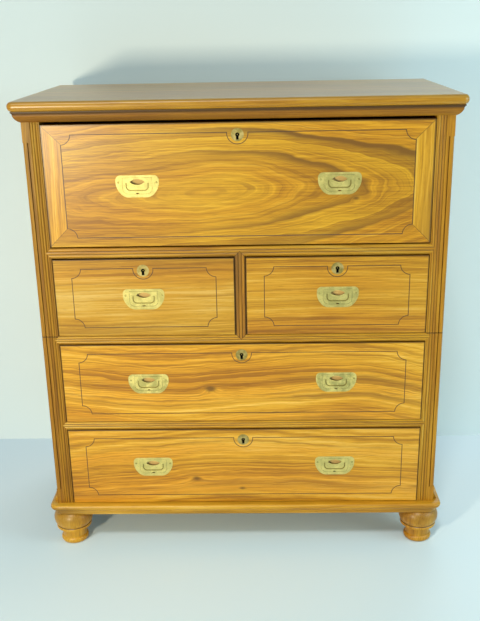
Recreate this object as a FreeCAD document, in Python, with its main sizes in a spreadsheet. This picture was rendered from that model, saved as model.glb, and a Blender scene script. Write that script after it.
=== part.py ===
import FreeCAD, Part
import math
import os
import re
import Sketcher

# Two-section chest with a secretaire drawer over two short and two long drawers.
# Millimetres, +Z up, X to the right, the front faces -Y, origin on the floor under the middle.

sizes = {
    # Case
    "opening_width": 870,
    "stile_width": 40,
    "stile_depth": 26,
    "case_depth": 488,
    "side_thickness": 18,
    "back_thickness": 12,
    "plank_gap": 1,
    "board_thickness": 12,
    "partition_thickness": 20,
    "section_gap": 1,
    # Heights, from the floor up
    "foot_height": 90,
    "base_thickness": 30,
    "lower_opening": 207,
    "rail_height": 19,
    "upper_opening": 205.5,
    "short_opening": 192.5,
    "secretaire_rail_height": 23,
    "secretaire_opening": 286.5,
    "mould_height": 24,
    "top_thickness": 21.5,
    # Turned feet
    "foot_toe": 27,
    "foot_bun_height": 16,
    "foot_bun_radius": 8.6,
    "foot_neck": 30.5,
    "foot_neck_height": 41,
    "foot_ring": 44.5,
    "foot_ring_low": 43,
    "foot_ring_high": 48,
    "foot_quirk": 42.5,
    "foot_quirk_height": 50,
    "foot_head": 38,
    "foot_bulb_radius": 27.5,
    "foot_inset": 30,
    "foot_back_inset": 50,
    # Base and its side mouldings
    "base_overhang": 19,
    "base_corner": 22,
    "base_round": 6.5,
    "base_band": 16,
    "base_band_overhang": 9,
    "base_band_round": 4,
    "cove_height": 38,
    "cove_reach": 10,
    "cove_lip": 2.5,
    "cove_setback": 14,
    # Reeds and the corner bead
    "stile_lip": 2,
    "reed_pitch": 6.4,
    "reed_depth": 1.7,
    "rail_lip": 0.8,
    "muntin_width": 24,
    "bead_radius": 5,
    "quirk_width": 2.4,
    "quirk_depth": 3.5,
    "bead_stop_top": 45,
    "bead_stop_base": 40,
    # Top
    "top_overhang": 24,
    "top_corner": 13,
    "top_round": 10.2,
    "mould_reach": 17,
    "mould_lip": 3,
    "mould_belly": 26,
    "mould_hollow": 8,
    # Drawers
    "front_thickness": 20,
    "front_round": 1.2,
    "side_gap": 1.5,
    "run_gap": 1,
    "head_gap": 4,
    "lining": 12,
    "bottom_thickness": 8,
    "bottom_rise": 7,
    "carcass_drop": 9,
    "drawer_length": 464,
    # Fall, its hinges and stays
    "fall_thickness": 18,
    "fall_gap": 3.5,
    "fall_headroom": 6.5,
    "clamp_width": 42,
    "hinge_inset": 8,
    "hinge_rise": 18,
    "hinge_offset": 300,
    "hinge_arm_width": 12,
    "hinge_arm_height": 6,
    "hinge_arm_length": 50,
    "hinge_eye": 5,
    "hinge_pin": 2,
    "hinge_pin_length": 32,
    "running_gap": 0.05,
    "stay_inner": 76,
    "stay_outer": 84,
    "stay_thickness": 3,
    "stay_head_low": 17.8,
    "stay_head_high": 14.8,
    "stay_head_inner": 72,
    "stay_head_outer": 88,
    "keeper_thickness": 3,
    "keeper_reach": 10,
    "keeper_half": 13,
    # Secretaire drawer
    "secretaire_length": 456,
    "writing_thickness": 18,
    "writing_gap": 29,
    "nest_depth": 188,
    "nest_board": 7,
    "nest_drawer_height": 68,
    "nest_headroom": 17,
    "small_length": 178,
    "small_front": 8,
    "small_lining": 5,
    "knob_radius": 8,
    # Flush handles
    "handle_offset": 226,
    "short_handle_drop": 3,
    "plate_width": 97,
    "plate_height": 50,
    "plate_corner": 11,
    "plate_thickness": 2.5,
    "plate_proud": 0.8,
    "cup_wall": 3.6,
    "cup_back": 10.7,
    "cup_floor": 1.2,
    "bail_width": 66,
    "bail_top": 19,
    "bail_bottom": 17,
    "bail_corner": 12,
    "bail_thickness": 3,
    "bail_gap": 0.5,
    "bail_groove_half": 26,
    "bail_groove_low": 10.5,
    "bail_groove_top": 8,
    "bail_groove_width": 2.8,
    "bail_groove_depth": 1.7,
    "bail_groove_corner": 10.5,
    "bail_pivot": 16,
    "bail_pin": 1.2,
    "bail_pin_length": 3,
    "finger_half": 17,
    "finger_height": 6.5,
    "finger_drop": 9,
    # Locks and escutcheons
    "short_lock_offset": 224.5,
    "lock_drop": 27.5,
    "escutcheon_radius": 14.2,
    "escutcheon_thickness": 1.5,
    "escutcheon_proud": 0.4,
    "keyhole_radius": 4.6,
    "keyhole_slot": 2.9,
    "keyhole_drop": 11,
    "lock_half": 30,
    "lock_height": 44,
    "lock_depth": 10,
    "selvedge_half": 36,
    "selvedge_thickness": 2.5,
    "drill_pin": 1.2,
    "overcut": 1,
}

doc = FreeCAD.newDocument("SecretaireChest")
sheet = doc.addObject("Spreadsheet::Sheet", "Sizes")
for row, (alias, size) in enumerate(sizes.items(), 1):
    sheet.set(f"A{row}", alias)
    sheet.set(f"B{row}", str(size))
    sheet.setAlias(f"B{row}", alias)
doc.recompute()

nodes = []


def cells(text):
    # The expression with the sheet's name before each alias.
    return re.sub("[a-z_]+", lambda word: f"Sizes.{word[0]}" if word[0] in sizes else word[0], str(text))


def value(text):
    return float(sheet.evalExpression(str(text)))


def keep(piece):
    nodes.append(piece)
    return piece


def board(label, across, along, up):
    # A plain board between pairs of low and high places on X, Y and Z.
    box = doc.addObject("Part::Box", label)
    for side, axis, (low, high) in zip(("Length", "Width", "Height"), "xyz", (across, along, up)):
        box.setExpression(side, cells(f"({high}) - ({low})"))
        box.setExpression(f"Placement.Base.{axis}", cells(low))
    return box


def group(label, pieces):
    bundle = doc.addObject("Part::Compound", label)
    bundle.Links = pieces
    return bundle


def new_body(label):
    return doc.addObject("PartDesign::Body", label)


def sketch_on(body, role, offset="0"):
    # An empty sketch on one of the body's own planes, moved along the plane's normal.
    sketch = body.newObject("Sketcher::SketchObject", "outline")
    plane = [item for item in body.Origin.OriginFeatures if item.Role == role][0]
    sketch.AttachmentSupport = (plane, "")
    sketch.MapMode = "FlatFace"
    sketch.setExpression("AttachmentOffset.Base.z", cells(offset))
    return sketch


def front_sketch(body, place):
    # A sketch on an upright plane square to Y, at that place on Y; its normal points to the front.
    return sketch_on(body, "XZ_Plane", f"-({place})")


def constrain(sketch, links, measures):
    # Links are constraints without a size, measures are pairs of a constraint and its expression.
    sketch.addConstraint(links)
    first = sketch.ConstraintCount
    sketch.addConstraint([constraint for constraint, size in measures])
    for index, (constraint, size) in enumerate(measures, first):
        sketch.setExpression(f"Constraints[{index}]", cells(size))


def draw(sketch, points, flip=False):
    # A closed outline. A point is (across, up), or (across, up, turn, radius) where the stretch that
    # ends there is an arc that turns left or right. Flip mirrors it about the upright axis.
    side = -1 if flip else 1
    spots = [FreeCAD.Vector(side * value(point[0]), value(point[1]), 0) for point in points]
    ends = []
    measures = []
    for index, point in enumerate(points):
        start = spots[index - 1]
        stop = spots[index]
        if len(point) == 2:
            ends.append((sketch.addGeometry(Part.LineSegment(start, stop)), 1, 2))
        else:
            turn = side * {"left": 1, "right": -1}[point[2]]
            radius = value(point[3])
            chord = stop - start
            rise = math.sqrt(radius ** 2 - (chord.Length / 2) ** 2)
            square = FreeCAD.Vector(-chord.y, chord.x, 0).normalize()
            centre = (start + stop) * 0.5 + square * (rise * turn)
            first, last = (start, stop) if turn > 0 else (stop, start)
            angles = [math.atan2(spot.y - centre.y, spot.x - centre.x) for spot in (first, last)]
            circle = Part.Circle(centre, FreeCAD.Vector(0, 0, 1), radius)
            arc = sketch.addGeometry(Part.ArcOfCircle(circle, *angles))
            ends.append((arc, 1, 2) if turn > 0 else (arc, 2, 1))
            measures.append((Sketcher.Constraint("Radius", arc, radius), point[3]))
        edge, begin, end = ends[-1]
        across = f"-({point[0]})" if flip else point[0]
        measures.append((Sketcher.Constraint("DistanceX", -1, 1, edge, end, stop.x), across))
        measures.append((Sketcher.Constraint("DistanceY", -1, 1, edge, end, stop.y), point[1]))
    links = []
    for (edge, begin, end), (before, opening, closing) in zip(ends, ends[-1:] + ends[:-1]):
        links.append(Sketcher.Constraint("Coincident", before, closing, edge, begin))
    constrain(sketch, links, measures)


def draw_circle(sketch, across, up, radius):
    centre = FreeCAD.Vector(value(across), value(up), 0)
    round_edge = sketch.addGeometry(Part.Circle(centre, FreeCAD.Vector(0, 0, 1), value(radius)))
    constrain(sketch, [], [
        (Sketcher.Constraint("DistanceX", -1, 1, round_edge, 3, centre.x), across),
        (Sketcher.Constraint("DistanceY", -1, 1, round_edge, 3, centre.y), up),
        (Sketcher.Constraint("Radius", round_edge, value(radius)), radius),
    ])


def rectangle(across, up):
    return [(across[0], up[0]), (across[1], up[0]), (across[1], up[1]), (across[0], up[1])]


def grow(body, kind, sketch, length, reverse=False):
    # A pad follows the sketch's normal and a pocket goes against it, unless reversed.
    feature = body.newObject(f"PartDesign::{kind}", kind.lower())
    feature.Profile = sketch
    feature.Reversed = reverse
    feature.setExpression("Length", cells(length))
    return feature


def turned(body, sketch):
    # The sketch turned once round its own upright axis.
    turning = body.newObject("PartDesign::Revolution", "turning")
    turning.Profile = sketch
    turning.ReferenceAxis = (sketch, ["V_Axis"])
    turning.Angle = 360


def round_edges(body, radius, chosen):
    doc.recompute()
    base = body.Tip
    names = [f"Edge{number}" for number, edge in enumerate(base.Shape.Edges, 1) if chosen(edge.CenterOfMass)]
    rounding = body.newObject("PartDesign::Fillet", "rounding")
    rounding.Base = (base, names)
    rounding.setExpression("Radius", cells(radius))


def near(place, text):
    return abs(place - value(text)) < 0.01


# Places that many pieces share
front = "(top_overhang - case_depth) / 2"
back = "(top_overhang + case_depth) / 2"
inside_back = f"{back} - back_thickness"
half_opening = "opening_width / 2"
half_case = "opening_width / 2 + stile_width"
half_inside = f"{half_case} - side_thickness"
base_top = "foot_height + base_thickness"
middle_rail_low = f"{base_top} + lower_opening"
middle_rail_high = f"{middle_rail_low} + rail_height"
joint_rail_low = f"{middle_rail_high} + upper_opening"
joint = f"{joint_rail_low} + rail_height"
secretaire_rail_low = f"{joint} + short_opening"
secretaire_rail_high = f"{secretaire_rail_low} + secretaire_rail_height"
mould_low = f"{secretaire_rail_high} + secretaire_opening"
top_low = f"{mould_low} + mould_height"
behind_rail = f"{front} + stile_depth"


# Turned feet

def turned_foot(label, across, along):
    body = new_body(label)
    sketch = sketch_on(body, "XZ_Plane")
    draw(sketch, [
        (0, 0),
        ("foot_toe", 0),
        ("foot_neck", "foot_bun_height", "left", "foot_bun_radius"),
        ("foot_neck", "foot_neck_height"),
        ("foot_ring", "foot_ring_low"),
        ("foot_ring", "foot_ring_high"),
        ("foot_quirk", "foot_quirk_height"),
        ("foot_head", "foot_height", "left", "foot_bulb_radius"),
        (0, "foot_height"),
    ])
    turned(body, sketch)
    body.setExpression("Placement.Base.x", cells(across))
    body.setExpression("Placement.Base.y", cells(along))
    return body


feet = []
foot_rows = (("front", f"{front} + foot_inset"), ("back", f"{back} - foot_back_inset"))
for side_name, sign in (("left", "-1"), ("right", "1")):
    for row_name, along in foot_rows:
        feet.append(turned_foot(f"foot_{row_name}_{side_name}", f"{sign} * ({half_case} - foot_inset)", along))
keep(group("turned_feet", feet))


# Base plinth: a wide board on a narrower band, with rounded front corners and rounded edges

def plan(overhang, corner):
    # The case's plan grown to the front and the sides, with rounded front corners.
    half = f"{half_case} + {overhang}"
    edge = f"{front} - {overhang}"
    return [
        (f"-({half})", back),
        (f"-({half})", f"{edge} + {corner}"),
        (f"{corner} - ({half})", edge, "left", corner),
        (f"{half} - {corner}", edge),
        (half, f"{edge} + {corner}", "left", corner),
        (half, back),
    ]


plinth = keep(new_body("base_plinth"))


def plinth_tier(low, thickness, overhang, rounding, rounded_levels):
    outline = sketch_on(plinth, "XY_Plane", low)
    draw(outline, plan(overhang, "base_corner"))
    grow(plinth, "Pad", outline, thickness)
    for level in rounded_levels:
        round_edges(plinth, rounding, lambda spot: near(spot.z, level) and not near(spot.y, back))


band_top = "foot_height + base_band"
plinth_tier(band_top, "base_thickness - base_band", "base_overhang", "base_round", (band_top, base_top))
plinth_tier("foot_height", "base_band", "base_band_overhang", "base_band_round", ("foot_height",))


# Cove mouldings along the sides, above the plinth

coves = []
cove_radius = "(cove_reach^2 + (cove_height - cove_lip)^2) / (2 * cove_reach)"
for side_name, flip in (("left", True), ("right", False)):
    cove = new_body(f"base_cove_{side_name}")
    outline = front_sketch(cove, back)
    draw(outline, [
        (half_case, base_top),
        (f"{half_case} + cove_reach", base_top),
        (f"{half_case} + cove_reach", f"{base_top} + cove_lip"),
        (half_case, f"{base_top} + cove_height", "right", cove_radius),
    ], flip)
    grow(cove, "Pad", outline, "case_depth - cove_setback")
    coves.append(cove)
keep(group("base_side_moulds", coves))


# Reeded stiles with a stopped bead at the corner; rails run to a point in their inner edge

def reed_radius(pitch):
    return f"(({pitch})^2 / 4 + reed_depth^2) / (2 * reed_depth)"


def reeded_stile(label, flip, low, high, bead_low, bead_high, rails):
    body = new_body(label)
    hollow = f"{front} + reed_depth"
    first = f"{half_opening} + stile_lip"
    radius = reed_radius("reed_pitch")
    reeds = [(f"{first} + {count} * reed_pitch", hollow, "left", radius) for count in (1, 2, 3)]
    outline = sketch_on(body, "XY_Plane", low)
    draw(outline, [
        (half_opening, behind_rail),
        (half_opening, front),
        (first, front),
        (first, hollow),
        *reeds,
        (f"{first} + 3 * reed_pitch", front),
        (half_case, front),
        (half_case, behind_rail),
    ], flip)
    grow(body, "Pad", outline, f"({high}) - ({low})")
    bead = sketch_on(body, "XY_Plane", bead_high)
    draw(bead, [
        (f"{half_case} - bead_radius", f"{front} - overcut"),
        (f"{half_case} + overcut", f"{front} - overcut"),
        (f"{half_case} + overcut", f"{front} + bead_radius"),
        (half_case, f"{front} + bead_radius"),
        (f"{half_case} - bead_radius", front, "right", "bead_radius"),
    ], flip)
    quirk = "2 * bead_radius"
    draw(bead, [
        (f"{half_case} - {quirk} - quirk_width", f"{front} - overcut"),
        (f"{half_case} - {quirk}", f"{front} - overcut"),
        (f"{half_case} - {quirk}", f"{front} + quirk_depth"),
        (f"{half_case} - {quirk} - quirk_width", front),
    ], flip)
    draw(bead, [
        (f"{half_case} + overcut", f"{front} + {quirk}"),
        (f"{half_case} + overcut", f"{front} + {quirk} + quirk_width"),
        (half_case, f"{front} + {quirk} + quirk_width"),
        (f"{half_case} - quirk_depth", f"{front} + {quirk}"),
    ], flip)
    grow(body, "Pocket", bead, f"({bead_high}) - ({bead_low})")
    points = front_sketch(body, front)
    for rail_low, rail_high in rails:
        half = f"(({rail_high}) - ({rail_low})) / 2"
        draw(points, [
            (f"{half_opening} - overcut", f"{rail_low} - overcut"),
            (f"{half_opening} + {half}", f"{rail_low} + {half}"),
            (f"{half_opening} - overcut", f"{rail_high} + overcut"),
        ], flip)
    grow(body, "Pocket", points, "stile_depth")
    return body


lower_rails = [(middle_rail_low, middle_rail_high), (joint_rail_low, joint)]
upper_rails = [(secretaire_rail_low, secretaire_rail_high)]
lower_high = f"{joint} - section_gap / 2"
upper_low = f"{joint} + section_gap / 2"
for side_name, flip in (("left", True), ("right", False)):
    keep(reeded_stile(f"lower_stile_{side_name}", flip, base_top, lower_high,
                      f"{base_top} + bead_stop_base", lower_high, lower_rails))
    keep(reeded_stile(f"upper_stile_{side_name}", flip, upper_low, top_low,
                      upper_low, f"{mould_low} - bead_stop_top", upper_rails))


# Reeded rails with pointed ends, and the pointed muntin that lies between two of them

def reeds_down(hollow, high, low):
    # Three reeds side by side on a rail's front, from its top edge to its bottom edge.
    pitch = f"(({high}) - ({low}) - 2 * rail_lip) / 3"
    radius = reed_radius(pitch)
    return [(hollow, f"{high} - rail_lip - {count} * {pitch}", "left", radius) for count in (1, 2, 3)]


def reeded_rail(label, low, high, notch=None):
    # Notch is the height of the tip of the muntin's point, and of the edge that the point crosses.
    body = new_body(label)
    half = f"(({high}) - ({low})) / 2"
    hollow = f"{front} + reed_depth"
    outline = sketch_on(body, "YZ_Plane", f"-({half_opening}) - {half}")
    draw(outline, [
        (behind_rail, low),
        (behind_rail, high),
        (front, high),
        (front, f"{high} - rail_lip"),
        (hollow, f"{high} - rail_lip"),
        *reeds_down(hollow, high, low),
        (front, f"{low} + rail_lip"),
        (front, low),
    ])
    grow(body, "Pad", outline, f"opening_width + 2 * {half}")
    points = front_sketch(body, front)
    for flip in (True, False):
        draw(points, [
            (f"{half_opening} - overcut", f"{high} + overcut"),
            (f"{half_opening} + {half}", f"{low} + {half}"),
            (f"{half_opening} - overcut", f"{low} - overcut"),
            (f"{half_opening} + {half} + overcut", f"{low} - overcut"),
            (f"{half_opening} + {half} + overcut", f"{high} + overcut"),
        ], flip)
    if notch:
        tip, edge = notch
        draw(points, [("-muntin_width / 2 - overcut", edge), (0, tip), ("muntin_width / 2 + overcut", edge)])
    grow(body, "Pocket", points, "stile_depth + overcut")
    return body


muntin_low = f"{joint} - muntin_width / 2"
muntin_high = f"{secretaire_rail_low} + muntin_width / 2"
keep(reeded_rail("lower_middle_rail", middle_rail_low, middle_rail_high))
keep(reeded_rail("lower_top_rail", joint_rail_low, joint, (muntin_low, f"{joint} + overcut")))
keep(reeded_rail("secretaire_rail", secretaire_rail_low, secretaire_rail_high,
                 (muntin_high, f"{secretaire_rail_low} - overcut")))

muntin = keep(new_body("drawer_muntin"))
muntin_pitch = "(muntin_width - 2 * rail_lip) / 3"
muntin_hollow = f"{front} + reed_depth"
muntin_reeds = [(f"rail_lip - muntin_width / 2 + {count} * {muntin_pitch}", muntin_hollow, "left",
                 reed_radius(muntin_pitch)) for count in (1, 2, 3)]
outline = sketch_on(muntin, "XY_Plane", muntin_low)
draw(outline, [
    ("-muntin_width / 2", behind_rail),
    ("-muntin_width / 2", front),
    ("rail_lip - muntin_width / 2", front),
    ("rail_lip - muntin_width / 2", muntin_hollow),
    *muntin_reeds,
    ("muntin_width / 2 - rail_lip", front),
    ("muntin_width / 2", front),
    ("muntin_width / 2", behind_rail),
])
grow(muntin, "Pad", outline, f"({muntin_high}) - ({muntin_low})")
points = front_sketch(muntin, front)
muntin_edge = "muntin_width / 2 + overcut"
for tip, away in ((muntin_high, "1"), (muntin_low, "-1")):
    draw(points, [
        (f"-({muntin_edge})", f"{tip} - {away} * ({muntin_edge})"),
        (0, tip),
        (muntin_edge, f"{tip} - {away} * ({muntin_edge})"),
        (muntin_edge, f"{tip} + {away} * overcut"),
        (f"-({muntin_edge})", f"{tip} + {away} * overcut"),
    ])
grow(muntin, "Pocket", points, "stile_depth + overcut")


# Plain boards of the two sections

def both_sides(label, low, high):
    along = (behind_rail, back)
    right = board(f"{label}_right", (half_inside, half_case), along, (low, high))
    left = board(f"{label}_left", (f"-({half_case})", f"-({half_inside})"), along, (low, high))
    return group(label, [left, right])


def planked_back(label, low, high):
    planks = []
    count = 4
    width = f"(2 * ({half_inside}) / {count})"
    for number in range(count):
        left = f"{number} * {width} - ({half_inside})"
        right = f"{left} + {width} - plank_gap"
        planks.append(board(f"{label}_plank", (left, right), (inside_back, back), (low, high)))
    return group(label, planks)


def shelf(label, low, high):
    return board(label, (f"-({half_inside})", half_inside), (behind_rail, inside_back), (low, high))


keep(both_sides("lower_sides", base_top, lower_high))
keep(shelf("lower_dust_board", f"{middle_rail_high} - board_thickness", middle_rail_high))
keep(shelf("lower_top_board", f"{joint} - board_thickness", joint))
keep(planked_back("lower_back", base_top, joint))
keep(both_sides("upper_sides", upper_low, top_low))
bottom_high = f"{joint} + board_thickness"
keep(shelf("upper_bottom_board", joint, bottom_high))
dust_low = f"{secretaire_rail_high} - board_thickness"
keep(shelf("secretaire_dust_board", dust_low, secretaire_rail_high))
keep(board("drawer_partition", ("-partition_thickness / 2", "partition_thickness / 2"),
           (behind_rail, inside_back), (bottom_high, dust_low)))
keep(planked_back("upper_back", joint, top_low))

case_top = keep(new_body("upper_case_top"))
outline = sketch_on(case_top, "XY_Plane", mould_low)
draw(outline, [
    (f"-({half_inside})", inside_back),
    (f"-({half_inside})", behind_rail),
    (f"-({half_opening})", behind_rail),
    (f"-({half_opening})", front),
    (half_opening, front),
    (half_opening, behind_rail),
    (half_inside, behind_rail),
    (half_inside, inside_back),
])
grow(case_top, "Pad", outline, "mould_height")


# Moulding round three sides under the top: a belly, a hollow and a narrow lip, mitred at the corners

mould = keep(new_body("top_mould"))
path = sketch_on(mould, "XY_Plane", mould_low)
corners = [(half_case, back), (half_case, front), (f"-({half_case})", front), (f"-({half_case})", back)]
spots = [FreeCAD.Vector(value(across), value(along), 0) for across, along in corners]
runs = [path.addGeometry(Part.LineSegment(start, stop)) for start, stop in zip(spots, spots[1:])]
measures = []
for run, ends in zip(runs, zip(corners, corners[1:])):
    for end, (across, along) in enumerate(ends, 1):
        if end == 1 and run != runs[0]:
            continue
        measures.append((Sketcher.Constraint("DistanceX", -1, 1, run, end, value(across)), across))
        measures.append((Sketcher.Constraint("DistanceY", -1, 1, run, end, value(along)), along))
constrain(path, [Sketcher.Constraint("Coincident", runs[0], 2, runs[1], 1),
                 Sketcher.Constraint("Coincident", runs[1], 2, runs[2], 1)], measures)
section = front_sketch(mould, back)
draw(section, [
    (half_case, mould_low),
    (f"{half_case} + mould_lip / 3", mould_low),
    (f"{half_case} + mould_reach * 0.8", f"{mould_low} + mould_height * 0.6", "left", "mould_belly"),
    (f"{half_case} + mould_reach - 1", f"{top_low} - mould_lip", "right", "mould_hollow"),
    (f"{half_case} + mould_reach", f"{top_low} - mould_lip"),
    (f"{half_case} + mould_reach", top_low),
    (half_case, top_low),
])
sweep = mould.newObject("PartDesign::AdditivePipe", "moulding")
sweep.Profile = section
sweep.Spine = (path, ["Edge1", "Edge2", "Edge3"])
sweep.Transition = "Right corner"


# Top board with rounded front corners and a bullnose on three sides

top_board = keep(new_body("top_board"))
outline = sketch_on(top_board, "XY_Plane", top_low)
draw(outline, plan("top_overhang", "top_corner"))
grow(top_board, "Pad", outline, "top_thickness")


def on_nose(spot):
    on_face = near(spot.z, top_low) or near(spot.z, f"{top_low} + top_thickness")
    return on_face and not near(spot.y, back)


round_edges(top_board, "top_round", on_nose)


# Flush handles: a shield plate with a cup let into the wood, and a bail that lies in the cup

def shield(across, up):
    half = "plate_width / 2"
    high = "plate_height / 2"
    right = [
        ("plate_width * 0.23", f"-({high})"),
        ("plate_width * 0.4", "plate_height * -0.31", "left", "plate_height * 0.48"),
        (half, "plate_height * 0.12", "left", "plate_height * 0.8"),
        (half, f"{high} - plate_corner"),
        (f"{half} - plate_corner", high, "left", "plate_corner"),
    ]
    left = [
        (f"-({half} - plate_corner)", high),
        (f"-({half})", f"{high} - plate_corner", "left", "plate_corner"),
        (f"-({half})", "plate_height * 0.12"),
        ("plate_width * -0.4", "plate_height * -0.31", "left", "plate_height * 0.8"),
        ("plate_width * -0.23", f"-({high})", "left", "plate_height * 0.48"),
    ]
    return [(f"{across} + {point[0]}", f"{up} + {point[1]}", *point[2:]) for point in right + left]


def tray(across, up, margin):
    # The bail's outline grown by a margin: square at the top, with rounded lower corners.
    half = f"(bail_width / 2 + {margin})"
    corner = f"(bail_corner + {margin})"
    low = f"{up} - bail_bottom - ({margin})"
    high = f"{up} + bail_top + {margin}"
    return [
        (f"{across} - {half} + {corner}", low, "left", corner),
        (f"{across} + {half} - {corner}", low),
        (f"{across} + {half}", f"{low} + {corner}", "left", corner),
        (f"{across} + {half}", high),
        (f"{across} - {half}", high),
        (f"{across} - {half}", f"{low} + {corner}"),
    ]


def bail_groove(across, up):
    # A channel in the shape of a U, with its open end up.
    low = f"{up} - bail_groove_low"
    top = f"{up} + bail_groove_top"
    bend = f"{low} + bail_groove_corner"
    inner = f"{low} + bail_groove_width"
    inner_corner = "bail_groove_corner - bail_groove_width"
    left = f"{across} - bail_groove_half"
    right = f"{across} + bail_groove_half"
    return [
        (left, top),
        (left, bend),
        (f"{left} + bail_groove_corner", low, "left", "bail_groove_corner"),
        (f"{right} - bail_groove_corner", low),
        (right, bend, "left", "bail_groove_corner"),
        (right, top),
        (f"{right} - bail_groove_width", top),
        (f"{right} - bail_groove_width", bend),
        (f"{right} - bail_groove_corner", inner, "right", inner_corner),
        (f"{left} + bail_groove_corner", inner),
        (f"{left} + bail_groove_width", bend, "right", inner_corner),
        (f"{left} + bail_groove_width", top),
    ]


plate_face = f"{front} - plate_proud"
bail_axis_y = f"{plate_face} + bail_thickness / 2"


def handle_plate(label, across, up):
    body = new_body(label)
    flange = front_sketch(body, plate_face)
    draw(flange, shield(across, up))
    grow(body, "Pad", flange, "plate_thickness", True)
    cup = front_sketch(body, plate_face)
    draw(cup, tray(across, up, "bail_gap + cup_wall"))
    grow(body, "Pad", cup, "plate_proud + cup_back", True)
    hollow = front_sketch(body, plate_face)
    draw(hollow, tray(across, up, "bail_gap"))
    grow(body, "Pocket", hollow, "plate_proud + cup_back - cup_floor")
    holes = sketch_on(body, "YZ_Plane", f"{across} - bail_width")
    draw_circle(holes, bail_axis_y, f"{up} + bail_pivot", "bail_pin + running_gap")
    grow(body, "Pocket", holes, "2 * bail_width", True)
    return body


def swing_bail(label, across, up):
    body = new_body(label)
    outline = front_sketch(body, plate_face)
    draw(outline, tray(across, up, "0"))
    grow(body, "Pad", outline, "bail_thickness", True)
    groove = front_sketch(body, plate_face)
    draw(groove, bail_groove(across, up))
    grow(body, "Pocket", groove, "bail_groove_depth")
    finger = front_sketch(body, plate_face)
    middle = f"{up} + bail_top - finger_drop"
    lens = "(finger_half^2 + finger_height^2) / (2 * finger_height)"
    draw(finger, [(f"{across} + finger_half", middle, "left", lens),
                  (f"{across} - finger_half", middle, "left", lens)])
    nail = f"{up} - bail_bottom"
    draw(finger, [(f"{across} - 4", f"{nail} - overcut"), (f"{across} + 4", f"{nail} - overcut"),
                  (f"{across} + 4", nail), (f"{across} - 4", nail, "left", "4.5")])
    grow(body, "Pocket", finger, "bail_thickness")
    for edge in (f"{across} - bail_width / 2", f"{across} + bail_width / 2"):
        pin = sketch_on(body, "YZ_Plane", f"{edge} - bail_pin_length")
        draw_circle(pin, bail_axis_y, f"{up} + bail_pivot", "bail_pin")
        grow(body, "Pad", pin, "2 * bail_pin_length")
    return body


# Locks: a case let into the back of the front, with a drill pin, and a round escutcheon before it

def keyhole(across, up):
    below = "sqrt(keyhole_radius^2 - keyhole_slot^2)"
    return [
        (f"{across} - keyhole_slot", f"{up} - keyhole_drop"),
        (f"{across} + keyhole_slot", f"{up} - keyhole_drop"),
        (f"{across} + keyhole_slot", f"{up} - {below}"),
        (across, f"{up} + keyhole_radius", "left", "keyhole_radius"),
        (f"{across} - keyhole_slot", f"{up} - {below}", "left", "keyhole_radius"),
    ]


def lock_outline(across, high):
    return rectangle((f"{across} - lock_half", f"{across} + lock_half"), (f"{high} - lock_height", high))


def selvedge_outline(across, thickness):
    along = (f"{front} + {thickness} - lock_depth", f"{front} + {thickness}")
    return rectangle((f"{across} - selvedge_half", f"{across} + selvedge_half"), along)


def lock(label, across, high, thickness):
    body = new_body(f"{label}_case")
    outline = front_sketch(body, f"{front} + {thickness}")
    draw(outline, lock_outline(across, high))
    grow(body, "Pad", outline, "lock_depth")
    selvedge = sketch_on(body, "XY_Plane", f"{high} - selvedge_thickness")
    draw(selvedge, selvedge_outline(across, thickness))
    grow(body, "Pad", selvedge, "selvedge_thickness")
    pin = front_sketch(body, f"{front} + {thickness} - lock_depth")
    draw_circle(pin, across, f"{high} - lock_drop", "drill_pin")
    grow(body, "Pad", pin, f"{thickness} - lock_depth - escutcheon_thickness")
    plate = new_body(f"{label}_escutcheon")
    disc = front_sketch(plate, f"{front} - escutcheon_proud")
    draw_circle(disc, across, f"{high} - lock_drop", "escutcheon_radius")
    draw(disc, keyhole(across, f"{high} - lock_drop"))
    grow(plate, "Pad", disc, "escutcheon_thickness", True)
    return group(label, [body, plate])


# Drawer fronts, with mortises for the handles and the lock

def front_board(label, outline_points, thickness, rounded, handles, lock_across, high):
    body = new_body(label)
    outline = front_sketch(body, front)
    draw(outline, outline_points)
    grow(body, "Pad", outline, thickness, True)
    round_edges(body, "front_round", lambda spot: near(spot.y, front) and rounded(spot))
    flanges = front_sketch(body, front)
    cups = front_sketch(body, front)
    for across, up in handles:
        draw(flanges, shield(across, up))
        draw(cups, tray(across, up, "bail_gap + cup_wall"))
    grow(body, "Pocket", flanges, "plate_thickness - plate_proud")
    grow(body, "Pocket", cups, "cup_back")
    disc = front_sketch(body, front)
    draw_circle(disc, lock_across, f"{high} - lock_drop", "escutcheon_radius")
    grow(body, "Pocket", disc, "escutcheon_thickness - escutcheon_proud")
    hole = front_sketch(body, front)
    draw(hole, keyhole(lock_across, f"{high} - lock_drop"))
    grow(body, "Pocket", hole, f"{thickness} - lock_depth")
    mortise = front_sketch(body, f"{front} + {thickness}")
    draw(mortise, lock_outline(lock_across, high))
    grow(body, "Pocket", mortise, "lock_depth", True)
    selvedge = sketch_on(body, "XY_Plane", high)
    draw(selvedge, selvedge_outline(lock_across, thickness))
    grow(body, "Pocket", selvedge, "selvedge_thickness")
    return body


def fittings(label, handles, lock_across, high, thickness):
    plates = [handle_plate(f"{label}_plate_{side}", across, up) for side, across, up in handles]
    keep(group(f"{label}_handle_plates", plates))
    for side, across, up in handles:
        keep(swing_bail(f"{label}_bail_{side}", across, up))
    keep(lock(f"{label}_lock", lock_across, high, thickness))


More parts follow.
